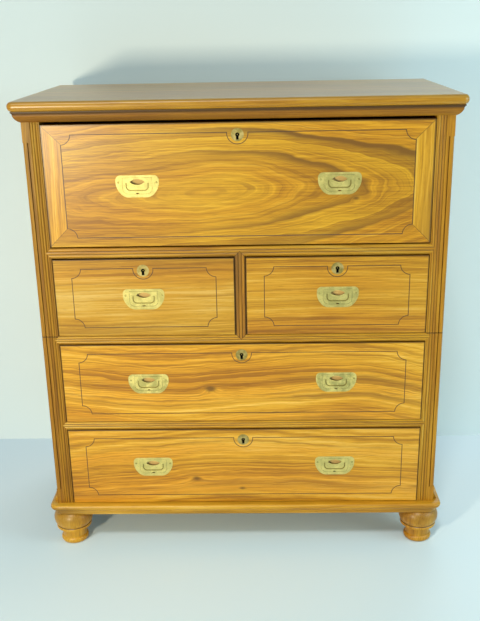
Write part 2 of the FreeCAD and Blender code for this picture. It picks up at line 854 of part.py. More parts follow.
def drawer_box(label, across, low, high):
    # Sides, back and bottom behind a front of this width; low is what the sides run on.
    left, right = across
    along = (f"{front} + front_thickness", f"{front} + drawer_length")
    back_along = (f"{front} + drawer_length - lining", f"{front} + drawer_length")
    between = (f"{left} + lining", f"{right} - lining")
    bottom_top = f"{low} + bottom_rise + bottom_thickness"
    return group(label, [
        board(f"{label}_left", (left, f"{left} + lining"), along, (low, f"{high} - carcass_drop")),
        board(f"{label}_right", (f"{right} - lining", right), along, (low, f"{high} - carcass_drop")),
        board(f"{label}_back", between, back_along, (bottom_top, f"{high} - carcass_drop")),
        board(f"{label}_bottom", between, along, (f"{low} + bottom_rise", bottom_top)),
    ])


def every_edge(spot):
    return True


def drawer(label, across, opening_low, opening_high, run_on, handles, handle_drop, lock_across):
    low = f"{opening_low} + run_gap"
    high = f"{opening_high} - head_gap"
    placed = [(side, place, f"({low} + {high}) / 2 - {handle_drop}") for side, place in handles]
    keep(front_board(f"{label}_front", rectangle(across, (low, high)), "front_thickness", every_edge,
                     [(place, up) for side, place, up in placed], lock_across, high))
    keep(drawer_box(f"{label}_carcass", across, f"{run_on} + run_gap", high))
    fittings(label, placed, lock_across, high, "front_thickness")


drawer_half = f"{half_opening} - side_gap"
whole_width = (f"-({drawer_half})", drawer_half)
pair = (("left", "-handle_offset"), ("right", "handle_offset"))
drawer("lower_drawer", whole_width, base_top, middle_rail_low, base_top, pair, "0", "0")
drawer("upper_drawer", whole_width, middle_rail_high, joint_rail_low, middle_rail_high, pair, "0", "0")
short_inner = "muntin_width / 2 + side_gap"
drawer("short_left_drawer", (f"-({drawer_half})", f"-({short_inner})"), joint, secretaire_rail_low, bottom_high,
       pair[:1], "short_handle_drop", "-short_lock_offset")
drawer("short_right_drawer", (short_inner, drawer_half), joint, secretaire_rail_low, bottom_high,
       pair[1:], "short_handle_drop", "short_lock_offset")


# The fall: a field panel between two mitred clamps, hinged low down inside its own thickness

fall_low = f"{secretaire_rail_high} + fall_gap"
fall_high = f"{mould_low} - fall_headroom"
axis_y = f"({front} + hinge_inset)"
axis_z = f"({fall_low} + hinge_rise)"
fall_handles = [(side, place, f"({fall_low} + {fall_high}) / 2") for side, place in pair]
clamp_edge = f"{drawer_half} - clamp_width"


def top_or_bottom(spot):
    return near(spot.z, fall_low) or near(spot.z, fall_high)


panel = keep(front_board("fall_panel", [
    (f"-({drawer_half})", fall_low),
    (drawer_half, fall_low),
    (clamp_edge, f"{fall_low} + clamp_width"),
    (clamp_edge, f"{fall_high} - clamp_width"),
    (drawer_half, fall_high),
    (f"-({drawer_half})", fall_high),
    (f"-({clamp_edge})", f"{fall_high} - clamp_width"),
    (f"-({clamp_edge})", f"{fall_low} + clamp_width"),
], "fall_thickness", top_or_bottom, [(place, up) for side, place, up in fall_handles], "0", fall_high))
notches = sketch_on(panel, "XY_Plane", fall_low)
pin_holes = sketch_on(panel, "YZ_Plane", "-hinge_offset - hinge_pin_length / 2")
for sign in ("-", ""):
    middle = f"{sign}hinge_offset"
    notch_half = "(hinge_arm_width / 2 + bail_gap)"
    draw(notches, rectangle((f"{middle} - {notch_half}", f"{middle} + {notch_half}"),
                            (f"{axis_y} - hinge_eye - bail_gap", f"{front} + fall_thickness + overcut")))
grow(panel, "Pocket", notches, "hinge_rise + hinge_eye + bail_gap", True)
draw_circle(pin_holes, axis_y, axis_z, "hinge_pin")
grow(panel, "Pocket", pin_holes, "hinge_pin_length", True)
pin_holes = sketch_on(panel, "YZ_Plane", "hinge_offset - hinge_pin_length / 2")
draw_circle(pin_holes, axis_y, axis_z, "hinge_pin")
grow(panel, "Pocket", pin_holes, "hinge_pin_length", True)

clamps = []
for side_name, flip in (("left", True), ("right", False)):
    clamp = new_body(f"fall_clamp_{side_name}")
    outline = front_sketch(clamp, front)
    draw(outline, [
        (clamp_edge, f"{fall_low} + clamp_width"),
        (drawer_half, fall_low),
        (drawer_half, fall_high),
        (clamp_edge, f"{fall_high} - clamp_width"),
    ], flip)
    grow(clamp, "Pad", outline, "fall_thickness", True)
    clamps.append(clamp)
keep(group("fall_clamps", clamps))
fittings("fall", fall_handles, "0", fall_high, "fall_thickness")


# Hinge arms on the writing board with pins in the fall, and quadrant stays that slide in keepers

writing_high = f"{axis_z} + fall_thickness - hinge_inset"
writing_low = f"{writing_high} - writing_thickness"
lining_face = f"{drawer_half} - lining"
keeper_front = f"{front} + fall_thickness + overcut"
box_front = f"{keeper_front} + keeper_thickness"

arms = []
pins = []
for side_name, sign in (("left", "-"), ("right", "")):
    arm = new_body(f"hinge_arm_{side_name}")
    start = f"{sign}hinge_offset - hinge_arm_width / 2"
    bar = sketch_on(arm, "YZ_Plane", start)
    draw(bar, rectangle((axis_y, f"{axis_y} + hinge_arm_length"),
                        (f"{axis_z} - hinge_arm_height / 2", f"{axis_z} + hinge_arm_height / 2")))
    grow(arm, "Pad", bar, "hinge_arm_width")
    eye = sketch_on(arm, "YZ_Plane", start)
    draw_circle(eye, axis_y, axis_z, "hinge_eye")
    grow(arm, "Pad", eye, "hinge_arm_width")
    bore = sketch_on(arm, "YZ_Plane", start)
    draw_circle(bore, axis_y, axis_z, "hinge_pin + running_gap")
    grow(arm, "Pocket", bore, "hinge_arm_width", True)
    arms.append(arm)
    pin = doc.addObject("Part::Cylinder", f"hinge_pin_{side_name}")
    pin.setExpression("Radius", cells("hinge_pin"))
    pin.setExpression("Height", cells("hinge_pin_length"))
    pin.Placement = FreeCAD.Placement(FreeCAD.Vector(), FreeCAD.Rotation(FreeCAD.Vector(0, 1, 0), 90))
    pin.setExpression("Placement.Base.x", cells(f"{sign}hinge_offset - hinge_pin_length / 2"))
    pin.setExpression("Placement.Base.y", cells(axis_y))
    pin.setExpression("Placement.Base.z", cells(axis_z))
    pins.append(pin)

stays = []
keepers = []
stay_start = f"{lining_face} - overcut - stay_thickness"
for side_name, flip in (("left", True), ("right", False)):
    stay = new_body(f"stay_{side_name}")
    inner_face = "fall_thickness - hinge_inset"
    place = f"-({stay_start} + stay_thickness)" if flip else stay_start
    arc = sketch_on(stay, "YZ_Plane", place)
    local = [
        (inner_face, f"sqrt(stay_outer^2 - ({inner_face})^2)"),
        (inner_face, f"sqrt(stay_inner^2 - ({inner_face})^2)"),
        ("sqrt(stay_inner^2 - stay_head_high^2)", "-stay_head_high", "right", "stay_inner"),
        ("stay_head_inner", "-stay_head_high"),
        ("stay_head_inner", "-stay_head_low"),
        ("stay_head_outer", "-stay_head_low"),
        ("stay_head_outer", "-stay_head_high"),
        ("sqrt(stay_outer^2 - stay_head_high^2)", "-stay_head_high"),
    ]
    moved = [(f"{axis_y} + {point[0]}", f"{axis_z} + {point[1]}", *point[2:]) for point in local]
    draw(arc, [(*moved[0], "left", "stay_outer"), *moved[1:]])
    grow(stay, "Pad", arc, "stay_thickness")
    stays.append(stay)
    keeper = new_body(f"stay_keeper_{side_name}")
    outline = front_sketch(keeper, keeper_front)
    keeper_middle = f"{axis_z} + (stay_inner + stay_outer) / 2"
    draw(outline, rectangle((f"{lining_face} - keeper_reach", drawer_half),
                            (f"{keeper_middle} - keeper_half", f"{keeper_middle} + keeper_half")), flip)
    draw(outline, rectangle((f"{stay_start} - overcut", f"{stay_start} + stay_thickness + overcut / 2"),
                            (f"{axis_z} + stay_inner - 2", f"{axis_z} + stay_outer")), flip)
    grow(keeper, "Pad", outline, "keeper_thickness", True)
    keepers.append(keeper)
keep(group("fall_hinge_arms", arms + keepers))
keep(group("fall_stays", stays + pins))


# Secretaire drawer: linings, writing board and a nest of pigeonholes over three small drawers

box_back = f"{front} + secretaire_length"
box_low = f"{secretaire_rail_high} + run_gap"
box_high = f"{fall_high} - carcass_drop"
inner_back = f"{box_back} - lining"
linings = [board("secretaire_back", (f"-({lining_face})", lining_face), (inner_back, box_back),
                 (box_low, box_high))]
step_along = f"{front} + writing_gap + overcut"
step_up = f"{writing_high} + 2 * overcut"
for side_name, start in (("left", f"-({drawer_half})"), ("right", lining_face)):
    # The front edge steps back below, where the foot of the fall swings in.
    side = new_body(f"secretaire_{side_name}")
    outline = sketch_on(side, "YZ_Plane", start)
    draw(outline, [
        (step_along, box_low),
        (box_back, box_low),
        (box_back, box_high),
        (box_front, box_high),
        (box_front, step_up),
        (step_along, step_up),
    ])
    grow(side, "Pad", outline, "lining")
    linings.append(side)
keep(group("secretaire_carcass", linings))

writing = keep(new_body("writing_board"))
outline = sketch_on(writing, "XY_Plane", writing_low)
slot_front = f"{axis_y} + stay_head_inner - 2"
slot_back = f"{axis_y} + stay_head_outer + 4"
slot_edge = f"{stay_start} - overcut"
draw(outline, [
    (f"-({lining_face})", inner_back),
    (f"-({lining_face})", slot_back),
    (f"-({slot_edge})", slot_back),
    (f"-({slot_edge})", slot_front),
    (f"-({lining_face})", slot_front),
    (f"-({lining_face})", f"{front} + writing_gap"),
    (lining_face, f"{front} + writing_gap"),
    (lining_face, slot_front),
    (slot_edge, slot_front),
    (slot_edge, slot_back),
    (lining_face, slot_back),
    (lining_face, inner_back),
])
grow(writing, "Pad", outline, "writing_thickness")
mortises = front_sketch(writing, f"{front} + writing_gap")
for sign in ("-", ""):
    middle = f"{sign}hinge_offset"
    draw(mortises, rectangle((f"{middle} - hinge_arm_width / 2", f"{middle} + hinge_arm_width / 2"),
                             (f"{axis_z} - hinge_arm_height / 2", f"{axis_z} + hinge_arm_height / 2")))
grow(writing, "Pocket", mortises, "hinge_inset + hinge_arm_length - writing_gap")

nest_front = f"{inner_back} - nest_depth"
nest_high = f"{box_high} - nest_headroom"
nest_floor = f"{writing_high} + nest_board"
nest_shelf = f"{nest_floor} + nest_drawer_height"
nest_along = (nest_front, f"{inner_back} - nest_board")
nest_across = (f"-({lining_face})", lining_face)
nest_inside = (f"nest_board - ({lining_face})", f"{lining_face} - nest_board")
nest_boards = [
    board("nest_back", nest_across, (f"{inner_back} - nest_board", inner_back), (writing_high, nest_high)),
    board("nest_top", nest_across, nest_along, (f"{nest_high} - nest_board", nest_high)),
    board("nest_shelf", nest_inside, nest_along, (nest_shelf, f"{nest_shelf} + nest_board")),
    board("nest_floor", nest_inside, nest_along, (writing_high, nest_floor)),
]
nest_end = (writing_high, f"{nest_high} - nest_board")
nest_boards.append(board("nest_left", (nest_across[0], nest_inside[0]), nest_along, nest_end))
nest_boards.append(board("nest_right", (nest_inside[1], nest_across[1]), nest_along, nest_end))


def uprights(count, low, high):
    # Upright partitions that part the nest's width into this many equal places.
    places = []
    pitch = f"(2 * ({lining_face}) - nest_board) / {count}"
    for number in range(1, count):
        start = f"{number} * {pitch} - ({lining_face})"
        places.append(board("nest_partition", (start, f"{start} + nest_board"), nest_along, (low, high)))
    return places


hole_count = 6
small_count = 3
nest_boards += uprights(small_count, nest_floor, nest_shelf)
nest_boards += uprights(hole_count, f"{nest_shelf} + nest_board", f"{nest_high} - nest_board")
keep(group("pigeonhole_case", nest_boards))

small_pitch = f"(2 * ({lining_face}) - nest_board) / {small_count}"
for number, name in enumerate(("left", "middle", "right")):
    label = f"small_drawer_{name}"
    left = f"{number} * {small_pitch} - ({lining_face}) + nest_board + overcut"
    right = f"{number + 1} * {small_pitch} - ({lining_face}) - overcut"
    low = f"{nest_floor} + overcut / 2"
    high = f"{nest_shelf} - overcut"
    face = f"{nest_front} + small_front"
    end = f"{nest_front} + small_length"
    between = (f"{left} + small_lining", f"{right} - small_lining")
    side_high = f"{high} - 4"
    knob = new_body(f"{label}_knob")
    outline = sketch_on(knob, "XY_Plane")
    draw(outline, [
        (0, 0),
        (0, "knob_radius * -1.7"),
        ("knob_radius", "knob_radius * -1.3", "left", "knob_radius * 1.5"),
        ("knob_radius", "knob_radius * -1.1"),
        ("knob_radius * 0.5", "knob_radius * -0.5"),
        ("knob_radius * 0.6", 0),
    ])
    turned(knob, outline)
    knob.setExpression("Placement.Base.x", cells(f"({left} + {right}) / 2"))
    knob.setExpression("Placement.Base.y", cells(nest_front))
    knob.setExpression("Placement.Base.z", cells(f"({low} + {high}) / 2"))
    keep(group(label, [
        board(f"{label}_front", (left, right), (nest_front, face), (low, high)),
        board(f"{label}_left", (left, between[0]), (face, end), (low, side_high)),
        board(f"{label}_right", (between[1], right), (face, end), (low, side_high)),
        board(f"{label}_back", between, (f"{end} - small_lining", end), (low, side_high)),
        board(f"{label}_bottom", between, (face, f"{end} - small_lining"), (low, f"{low} + small_lining")),
        knob,
    ]))


# Every object is sound before anything is written

doc.recompute()
for item in doc.Objects:
    if "Invalid" in item.State or "Error" in item.State:
        raise RuntimeError(f"{item.Label} failed: {item.State}")
for piece in nodes:
    if piece.Shape.isNull() or not piece.Shape.isValid():
        raise RuntimeError(f"{piece.Label} has no sound shape")

os.makedirs("parts", exist_ok=True)
for piece in nodes:
    piece.Shape.exportStep(f"parts/{piece.Label}.step")
print(len(nodes), "pieces written")
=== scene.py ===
import math
import bpy
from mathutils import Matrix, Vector


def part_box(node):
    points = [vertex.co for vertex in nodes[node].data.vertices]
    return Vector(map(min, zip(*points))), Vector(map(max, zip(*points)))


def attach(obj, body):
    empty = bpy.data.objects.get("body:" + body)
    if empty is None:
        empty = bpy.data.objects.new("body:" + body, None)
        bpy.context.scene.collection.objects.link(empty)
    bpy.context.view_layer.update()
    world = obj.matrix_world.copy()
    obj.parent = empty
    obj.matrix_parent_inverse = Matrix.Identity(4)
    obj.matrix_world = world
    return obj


# Secretaire chest in camphorwood with flush brass handles: finish, inlay, screws, light and camera
# Metres, +Z up, the drawers face -Y

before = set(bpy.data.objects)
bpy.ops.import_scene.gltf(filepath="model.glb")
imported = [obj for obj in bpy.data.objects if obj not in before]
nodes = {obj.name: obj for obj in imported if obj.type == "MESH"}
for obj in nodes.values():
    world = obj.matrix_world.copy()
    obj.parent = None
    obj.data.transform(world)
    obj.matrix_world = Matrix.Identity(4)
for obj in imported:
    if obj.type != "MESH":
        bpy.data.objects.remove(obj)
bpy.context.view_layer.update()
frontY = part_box("lower_drawer_front")[0].y
print("frame loaded,", len(nodes), "nodes")


# Shader maths

class Link:
    # an output socket that takes part in sums
    def __init__(self, paint, socket):
        self.paint = paint
        self.socket = socket

    def other(self, output):
        return Link(self.paint, self.socket.node.outputs[output])

    def maths(self, operation, first, second):
        return self.paint.node("Math", {"operation": operation}, {0: first, 1: second})

    def __add__(self, value):
        return self.maths("ADD", self, value)

    def __radd__(self, value):
        return self.maths("ADD", value, self)

    def __sub__(self, value):
        return self.maths("SUBTRACT", self, value)

    def __rsub__(self, value):
        return self.maths("SUBTRACT", value, self)

    def __mul__(self, value):
        return self.maths("MULTIPLY", self, value)

    def __rmul__(self, value):
        return self.maths("MULTIPLY", value, self)

    def __pow__(self, value):
        return self.maths("POWER", self, value)

    def __abs__(self):
        return self.paint.node("Math", {"operation": "ABSOLUTE"}, {0: self})


class Paint:
    # the nodes of one material, or of the world
    def __init__(self, owner):
        owner.use_nodes = True
        self.owner = owner
        self.tree = owner.node_tree

    def feed(self, socket, value):
        if isinstance(value, Link):
            self.tree.links.new(value.socket, socket)
        else:
            socket.default_value = value

    def node(self, kind, settings, sockets, output=0):
        made = self.tree.nodes.new("ShaderNode" + kind)
        for key, value in settings.items():
            if key == "stops":
                self.fillRamp(made.color_ramp, value)
            else:
                setattr(made, key, value)
        for key, value in sockets.items():
            self.feed(made.inputs[key], value)
        return Link(self, made.outputs[output])

    def fillRamp(self, ramp, stops):
        while len(ramp.elements) < len(stops):
            ramp.elements.new(0.5)
        for element, (place, colour) in zip(ramp.elements, stops):
            element.position = place
            element.color = (*colour, 1)

    def place(self, source="Object"):
        return self.node("TexCoord", {}, {}, source)

    def axes(self, source="Object"):
        split = self.node("SeparateXYZ", {}, {0: self.place(source)})
        return [split.other(axis) for axis in range(3)]

    def noise(self, vector, scale, detail=2, roughness=0.5):
        return self.node("TexNoise", {}, {"Vector": vector, "Scale": scale, "Detail": detail,
                                          "Roughness": roughness})

    def line(self, value, detail=2):
        return self.node("TexNoise", {"noise_dimensions": "1D"}, {"W": value, "Scale": 1, "Detail": detail})

    def vector(self, x, y, z):
        return self.node("CombineXYZ", {}, {0: x, 1: y, 2: z})

    def stretch(self, value, low, high, toLow=0, toHigh=1):
        return self.node("MapRange", {"interpolation_type": "SMOOTHSTEP"},
                         {0: value, 1: low, 2: high, 3: toLow, 4: toHigh})

    def ramp(self, value, stops, tones):
        return self.node("ValToRGB", {"stops": [(place, tones[key]) for place, key in stops]}, {0: value})

    def lesser(self, first, second):
        return self.node("Math", {"operation": "MINIMUM"}, {0: first, 1: second})

    def blend(self, share, first, second, how="MIX"):
        colours = [(*value, 1) if isinstance(value, tuple) else value for value in (first, second)]
        return self.node("Mix", {"data_type": "RGBA", "blend_type": how},
                         {0: share, 6: colours[0], 7: colours[1]}, 2)

    def backgroundRays(self):
        rays = self.node("LightPath", {}, {}, "Is Camera Ray")
        return rays + rays.other("Is Glossy Ray") + rays.other("Is Transmission Ray")

    def bump(self, strength, distance, height):
        return self.node("Bump", {}, {"Strength": strength, "Distance": distance, "Height": height})

    def finish(self, **sockets):
        shader = self.tree.nodes["Principled BSDF"]
        for key, value in sockets.items():
            self.feed(shader.inputs[key.replace("_", " ")], value)
        return self.owner


# Camphorwood, cut from a round log: rings about a heart that wanders behind the board

woodTones = {
    "pale": (0.80, 0.48, 0.075),
    "gold": (0.68, 0.34, 0.016),
    "amber": (0.50, 0.225, 0.007),
    "brown": (0.30, 0.122, 0.005),
    "line": (0.34, 0.142, 0.006),
    "streak": (0.195, 0.082, 0.006),
    "reed": (0.085, 0.038, 0.007),
    "dirtAndShade": (0.060, 0.028, 0.006),
    "hole": (0.004, 0.003, 0.002),
    "redder": (1.02, 0.96, 0.90),    # the two hues that the zones of the wood lean to
    "greener": (0.98, 1.02, 1.04),
}
woodRamp = ((0.30, "brown"), (0.43, "amber"), (0.57, "gold"), (0.76, "pale"))

woodLook = {
    "grain": "xzy",          # along the grain, across it and through the board
    "heart": (0, 0.5),       # where the rings are nearest, along and across
    "heartDepth": 0.30,      # how deep the heart lies there
    "spread": 0.0,           # how fast it sinks away on both sides
    "skew": 0.0,             # how much faster on the right
    "tilt": 0.0,             # how the heart's line rises along the board
    "dips": (),              # (along, slope): the grain sinks to that place and rises again
    "bend": 0.06,            # how far it wanders across
    "bendScale": 1.6,
    "wave": 0.012,           # waves in the rings
    "curl": 0.004,           # small kinks in them
    "contrast": 1.0,
    "bands": 0.56,           # share of broad bands in the figure
    "ringShare": 0.48,
    "fineShare": 0.24,       # share of the fine lines within the rings
    "fibres": 0.48,          # share of the fibres in the tone
    "clouds": 0.48,          # share of soft patches
    "rings": 70,             # rings in a metre
    "streaks": 9,            # dark bands in a metre of rings
    "streakShare": 0.8,
    "lines": 0.35,           # share of thin dark lines
    "eye": 0,                # how far from the heart the figure stays calm
    "darkRings": (),         # (distance from the heart, width, share), fading to the left
    "seed": 0,
    "knots": (),             # (along, across, size)
    "groove": 0,             # how deep the reeds are that hold dirt and painted shade
    "keyhole": None,         # (x, z) of the keyhole, whose inside is painted near black as shade
    "joint": None,           # (low z, high z, half width, clamp width) of mitred clamps
    "rim": None,             # (left, right, low, high, width, pointed): the outline, dark with wear and with painted shade that widens the gap round it
    "crack": None,           # height of a thin dark line, as between the sections
    "polish": 0,             # taken off the roughness
    "coat": 0.18,
    "dust": None,            # tint of the faces that look up; on the fronts it is painted shade for the dark gap above them
    "shade": None,           # (low z, high z, share): painted shade with some dirt, darker towards the top under an overhang
    "tint": (1, 1, 1),
    "turns": False,          # a moulding that turns the corner, its grain with it
}

# How many in a metre, along the grain and across it
woodScale = {"ripple": (3.2, 8), "curl": (17, 34), "fibre": (9, 320), "cloud": (2.1, 6), "pores": (45, 700),
             "fading": (1.9, 3), "breaks": (6, 42)}

# Scales through the rings, beside those in woodLook, and how far each pattern is shifted by the seed
ringScale = {"fine": 5.3, "streak": 2.2, "thin": 1.25, "zone": 15}
ringShift = {"streak": 1.7, "thin": 2.3, "zone": 3.1}

# Where soft edges start and end
woodEdges = {"turn": (0.45, 0.55), "fading": (0.36, 0.60), "streak": (0.53, 0.70), "thin": (0.52, 0.68),
             "break": (0.38, 0.62), "knot": (0.03, 1), "zone": (0.36, 0.62), "pore": (0.60, 0.74),
             "upward": (0.75, 0.98), "facing": (0.1, 0.35), "darkRing": (-0.20, 0.14)}

# Places and widths of wear and of painted shade, in metres
wearAndShadeEdges = {"reedSide": (0.4645, 0.4665), "hole": (0.013, 0.014), "holeDepth": (0.0005, 0.001),
             "joint": (0.0004, 0.0016), "crack": (0.0005, 0.0018), "rimDepth": (0.001, 0.004)}
wearAndShadeShare = {"knot": 0.75, "pore": 0.28, "reed": 0.9, "joint": 0.8, "crack": 0.85, "rim": 0.75}

knotShape = {"stretch": 0.55, "push": 0.9, "core": 3, "curl": 1.4, "even": 0.3}
darkRing = {"fallOff": 0.25, "ripple": 1.1, "fading": 0.4, "onLeft": 0.1}
heartRound = 0.001           # how blunt the heart's nearest point is
dipRound = 0.004             # how blunt the dips are
eyeCalm = 0.3                # share of the figure left at the heart
brokenLine = 0.12            # share of a thin line left in its breaks
edgeStart = 0.3              # dirt, wear and painted shade fade over the rest of a reed or rim
mitreWidth = 0.7             # the mitres' lines beside the upright ones
woodGloss = {"rough": 0.34, "fibre": 0.12, "pore": 0.3, "bump": 0.25, "bumpDepth": 0.0004, "fibreBump": 0.4,
             "specular": 0.32, "coatRough": 0.32}
seedStep = 7.31


class Board:
    # one board out of the log: its rings, its figure, and the wear and painted shade on it
    def __init__(self, paint, look):
        self.paint = paint
        self.look = look
        self.seed = look["seed"] * seedStep
        axes = paint.axes()
        self.x, self.y, self.z = axes
        self.along, self.across, self.depth = [axes["xyz".index(letter)] for letter in look["grain"]]
        if look["turns"]:
            self.turnGrain()
        self.findRings()

    def turnGrain(self):
        along, depth = self.along, self.depth
        outward = self.paint.axes("Normal")[0]
        turned = self.paint.stretch(outward * outward, *woodEdges["turn"])
        self.along = along + (depth - along) * turned
        self.depth = depth + (along - depth) * turned

    def noise(self, kind, detail, roughness=0.5, shift=0.0, shiftAcross=0.0):
        lengthways, crossways = woodScale[kind]
        spot = self.paint.vector(self.along * lengthways + shift, self.across * crossways + shiftAcross,
                                 self.depth * crossways)
        return self.paint.noise(spot, 1, detail, roughness)

    def ringLine(self, scale, detail, seedTimes=1):
        return self.paint.line(self.rings * scale + self.seed * seedTimes, detail)

    def smear(self, colour, share, tone):
        return self.paint.blend(share, colour, woodTones[tone])

    # Distance from the heart, with waves and with swellings about the knots
    def findRings(self):
        paint, look, along, across = self.paint, self.look, self.along, self.across
        heartAlong, heartAcross = look["heart"]
        wander = paint.line(along * look["bendScale"] + self.seed, 1) - 0.5
        away = along - heartAlong
        beside = across - heartAcross - wander * look["bend"] - away * look["tilt"]
        for lowest, slope in look["dips"]:
            beside = beside - ((along - lowest) ** 2 + dipRound) ** 0.5 * slope
        surface = frontY if look["grain"][2] == "y" else 0
        inward = self.depth - surface - look["heartDepth"]
        if look["spread"]:
            inward = inward - (away * away + heartRound) ** 0.5 * look["spread"] - away * look["skew"]
        self.away = away
        self.ripple = self.noise("ripple", 2, shift=self.seed)
        self.curl = self.noise("curl", 2, shift=self.seed)
        self.rings = (beside * beside + inward * inward) ** 0.5
        self.rings = self.rings + (self.ripple - 0.5) * look["wave"] + (self.curl - 0.5) * look["curl"]
        self.knotShade = 0
        for knotAlong, knotAcross, size in look["knots"]:
            reach = ((along - knotAlong) * knotShape["stretch"]) ** 2 + (across - knotAcross) ** 2
            swell = paint.node("Math", {"operation": "EXPONENT"}, {0: reach * (-1 / size ** 2)})
            self.rings = self.rings + swell * size * knotShape["push"]
            self.knotShade = swell ** knotShape["core"] + self.knotShade

    # Broad bands, rings, fine lines in the rings, fibres and clouds make the tone
    def figure(self):
        paint, look = self.paint, self.look
        broad = self.ringLine(look["streaks"], 2)
        ring = self.ringLine(look["rings"], 3)
        fine = self.ringLine(look["rings"] * ringScale["fine"], 2)
        self.fibre = self.noise("fibre", 3, 0.6, self.seed)
        self.cloud = self.noise("cloud", 2, shift=self.seed)
        figure = (broad - 0.5) * look["bands"] + (ring - 0.5) * look["ringShare"]
        figure = figure + (fine - 0.5) * look["fineShare"]
        if look["eye"]:
            figure = figure * paint.stretch(self.rings, 0, look["eye"], eyeCalm, 1)
        tone = 0.5 + figure * look["contrast"] + (self.fibre - 0.5) * look["fibres"]
        tone = tone + (self.cloud - 0.5) * look["clouds"]
        return paint.ramp(tone, woodRamp, woodTones)

    # Thin lines, dark streaks that come and go, dark rings, knots, zones of hue, and pores
    def markings(self, colour):
        paint, look = self.paint, self.look
        thin = self.ringLine(look["rings"] * ringScale["thin"], 2, ringShift["thin"])
        breaks = self.noise("breaks", 2, shift=self.seed)
        breaks = paint.stretch(breaks, *woodEdges["break"], brokenLine, 1)
        colour = self.smear(colour, paint.stretch(thin, *woodEdges["thin"]) * breaks * look["lines"], "line")
        bands = self.ringLine(look["streaks"] * ringScale["streak"], 3, ringShift["streak"])
        fading = paint.stretch(self.noise("fading", 1, shiftAcross=self.seed), *woodEdges["fading"])
        streak = paint.stretch(bands, *woodEdges["streak"]) * fading * look["streakShare"]
        colour = self.smear(colour, streak, "streak")
        for distance, width, share in look["darkRings"]:
            gap = self.rings - distance
            shade = paint.stretch(gap, -width, 0) * paint.stretch(gap, 0, width * darkRing["fallOff"], 1, 0)
            shade = shade * (self.ripple * darkRing["ripple"] + fading * darkRing["fading"])
            shade = shade * paint.stretch(self.away, *woodEdges["darkRing"], darkRing["onLeft"], 1)
            colour = self.smear(colour, shade * share, "streak")
        if look["knots"]:
            ragged = self.curl * knotShape["curl"] + knotShape["even"]
            smudge = paint.stretch(self.knotShade * ragged, *woodEdges["knot"])
            colour = self.smear(colour, smudge * wearAndShadeShare["knot"], "dirtAndShade")
        zones = (self.ringLine(ringScale["zone"], 1, ringShift["zone"]) + self.cloud) * 0.5
        zones = paint.stretch(zones, *woodEdges["zone"])
        hue = paint.blend(zones, woodTones["redder"], woodTones["greener"])
        colour = paint.blend(1, colour, hue, "MULTIPLY")
        self.poreShade = paint.stretch(self.noise("pores", 1), *woodEdges["pore"]) * wearAndShadeShare["pore"]
        return self.smear(colour, self.poreShade, "streak")

    # Tint, the tint of faces that look up, dirt, wear and painted shade
    def wearAndShade(self, colour):
        paint, look = self.paint, self.look
        if look["tint"] != (1, 1, 1):
            colour = paint.blend(1, colour, look["tint"], "MULTIPLY")
        # faces that look up take this tint: on the fronts, painted shade for the dark gap above each front
        if look["dust"]:
            upward = paint.stretch(paint.axes("Normal")[2], *woodEdges["upward"])
            colour = paint.blend(upward, colour, paint.blend(1, colour, look["dust"], "MULTIPLY"))
        # painted shade with some dirt, darker towards the top under an overhang
        if look["shade"]:
            low, high, share = look["shade"]
            colour = self.smear(colour, paint.stretch(self.z, low, high) * share, "dirtAndShade")
        # deep in the reeds: dirt and painted shade
        if look["groove"]:
            facing = paint.stretch(paint.axes("Normal")[1] * -1, *woodEdges["facing"])
            inReeds = facing * paint.stretch(abs(self.x), *wearAndShadeEdges["reedSide"], 1, 0)
            dirtAndShade = paint.stretch(self.y - frontY, look["groove"] * edgeStart, look["groove"]) * inReeds
            colour = self.smear(colour, dirtAndShade * wearAndShadeShare["reed"], "reed")
        # painted shade inside the keyhole: the walls of the hole are painted near black
        if look["keyhole"]:
            holeX, holeZ = look["keyhole"]
            inner, outer = wearAndShadeEdges["hole"]
            reach = (self.x - holeX) ** 2 + (self.z - holeZ) ** 2
            hole = paint.stretch(reach, inner ** 2, outer ** 2, 1, 0)
            hole = hole * paint.stretch(self.y - frontY, *wearAndShadeEdges["holeDepth"])
            colour = self.smear(colour, hole, "hole")
        if look["joint"]:
            low, high, half, wide = look["joint"]
            upright = abs(self.x) - (half - wide)
            mitres = paint.lesser(self.z - low, high - self.z) + abs(self.x) - half
            joint = paint.stretch(paint.lesser(upright, mitres * mitreWidth), *wearAndShadeEdges["joint"], 1, 0)
            colour = self.smear(colour, joint * wearAndShadeShare["joint"], "dirtAndShade")
        if look["crack"]:
            crack = paint.stretch(abs(self.z - look["crack"]), *wearAndShadeEdges["crack"], wearAndShadeShare["crack"], 0)
            colour = self.smear(colour, crack, "dirtAndShade")
        # dark outline: wear, and painted shade that widens the dark gap round each front and the muntin
        if look["rim"]:
            left, right, low, high, width, pointed = look["rim"]
            inside = paint.lesser(self.x - left, right - self.x)
            fromEnds = paint.lesser(self.z - low, high - self.z)
            if pointed:
                fromEnds = fromEnds + inside - (right - left) / 2
            wearAndPaintedLight = paint.stretch(paint.lesser(inside, fromEnds), width * edgeStart, width, 1, 0)
            wearAndPaintedLight = wearAndPaintedLight * paint.stretch(self.y - frontY, *wearAndShadeEdges["rimDepth"], 1, 0)
            colour = self.smear(colour, wearAndPaintedLight * wearAndShadeShare["rim"], "dirtAndShade")
        return colour


